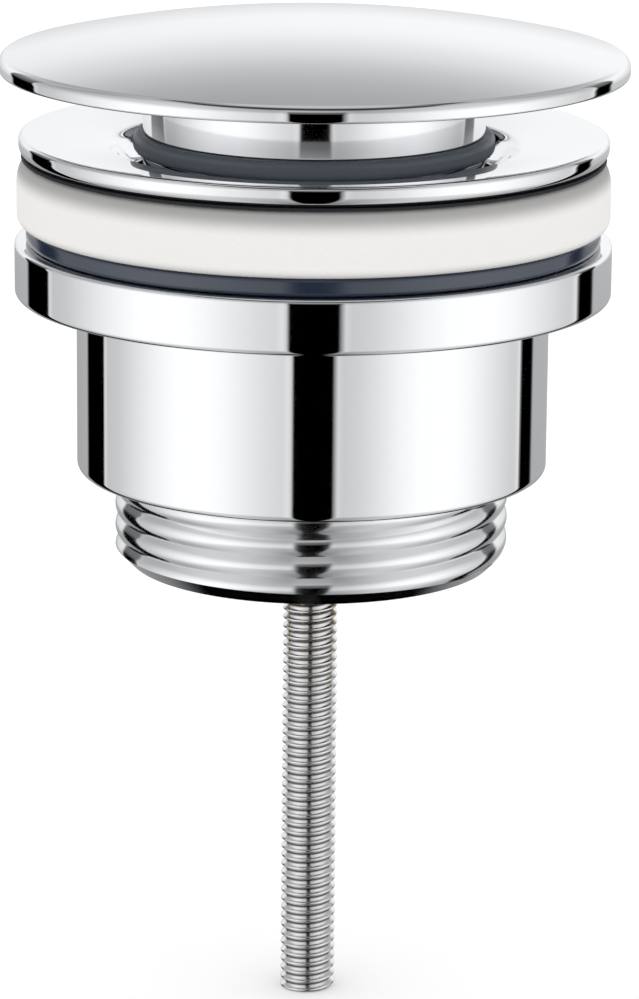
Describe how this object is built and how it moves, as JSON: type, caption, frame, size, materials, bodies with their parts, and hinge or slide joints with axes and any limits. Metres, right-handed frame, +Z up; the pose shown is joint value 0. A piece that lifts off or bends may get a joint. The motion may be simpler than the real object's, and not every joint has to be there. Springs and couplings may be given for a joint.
{
  "type": "pop up basin waste",
  "caption": "Polished push-to-close basin drain: domed plug over a dished flange, soft washers, a collared lower body with a pipe-thread tail, all drawn together by a long central screw.",
  "frame": {"origin": "on the axis, in the plane where the flange rests on the basin", "axes": "+Z up along the axis, out of the basin; X and Y through the overflow windows"},
  "size_m": [0.066, 0.066, 0.1069],
  "materials": {
    "polished_chrome": "mirror polished plating",
    "steel": "bright rolled",
    "brass": "turned",
    "white_foam": "soft closed-cell",
    "washer_rubber": "satin",
    "seal_rubber": "satin",
    "white_resin": "moulded"
  },
  "bodies": {
    "flange_unit": {"flange": "polished_chrome", "flange_gasket": "seal_rubber", "sleeve_ring": "seal_rubber", "screw_washer": "seal_rubber", "cartridge_sleeve": "brass", "cartridge_lid": "brass", "upper_cam": "white_resin", "lower_cam": "white_resin", "return_spring": "steel"},
    "plug": {"cap": "polished_chrome", "plug_neck": "polished_chrome", "plug_seal": "seal_rubber", "plunger": "brass", "rotor_clip": "steel"},
    "rotor": {"rotor": "white_resin"},
    "screw": {"fixing_screw": "steel"},
    "lower_unit": {"lower_body": "polished_chrome", "screw_bridge": "brass", "foam_washer": "white_foam", "rubber_washer": "washer_rubber"}
  },
  "joints": [
    {"name": "plug_press", "type": "slide", "parent": "flange_unit", "child": "plug", "axis": [0, 0, 1], "range_m": [-0.006, 0], "stiffness_N_per_m": 900, "springref_m": 0.006, "deforming": ["return_spring"]},
    {"name": "rotor_index", "type": "hinge", "parent": "plug", "child": "rotor", "pos_m": [0, 0, 0], "axis": [0, 0, 1], "range_deg": [0, 22.6]},
    {"name": "screw_turn", "type": "hinge", "parent": "flange_unit", "child": "screw", "pos_m": [0, 0, 0], "axis": [0, 0, 1], "range_deg": [0, 14440]},
    {"name": "body_clamp", "type": "slide", "parent": "flange_unit", "child": "lower_unit", "axis": [0, 0, 1], "range_m": [-0.04, 0]}
  ],
  "couplings": [
    {"joint": "rotor_index", "follows": "plug_press", "rad_per_m": -65.45},
    {"joint": "screw_turn", "follows": "body_clamp", "rad_per_m": -6283.2}
  ]
}
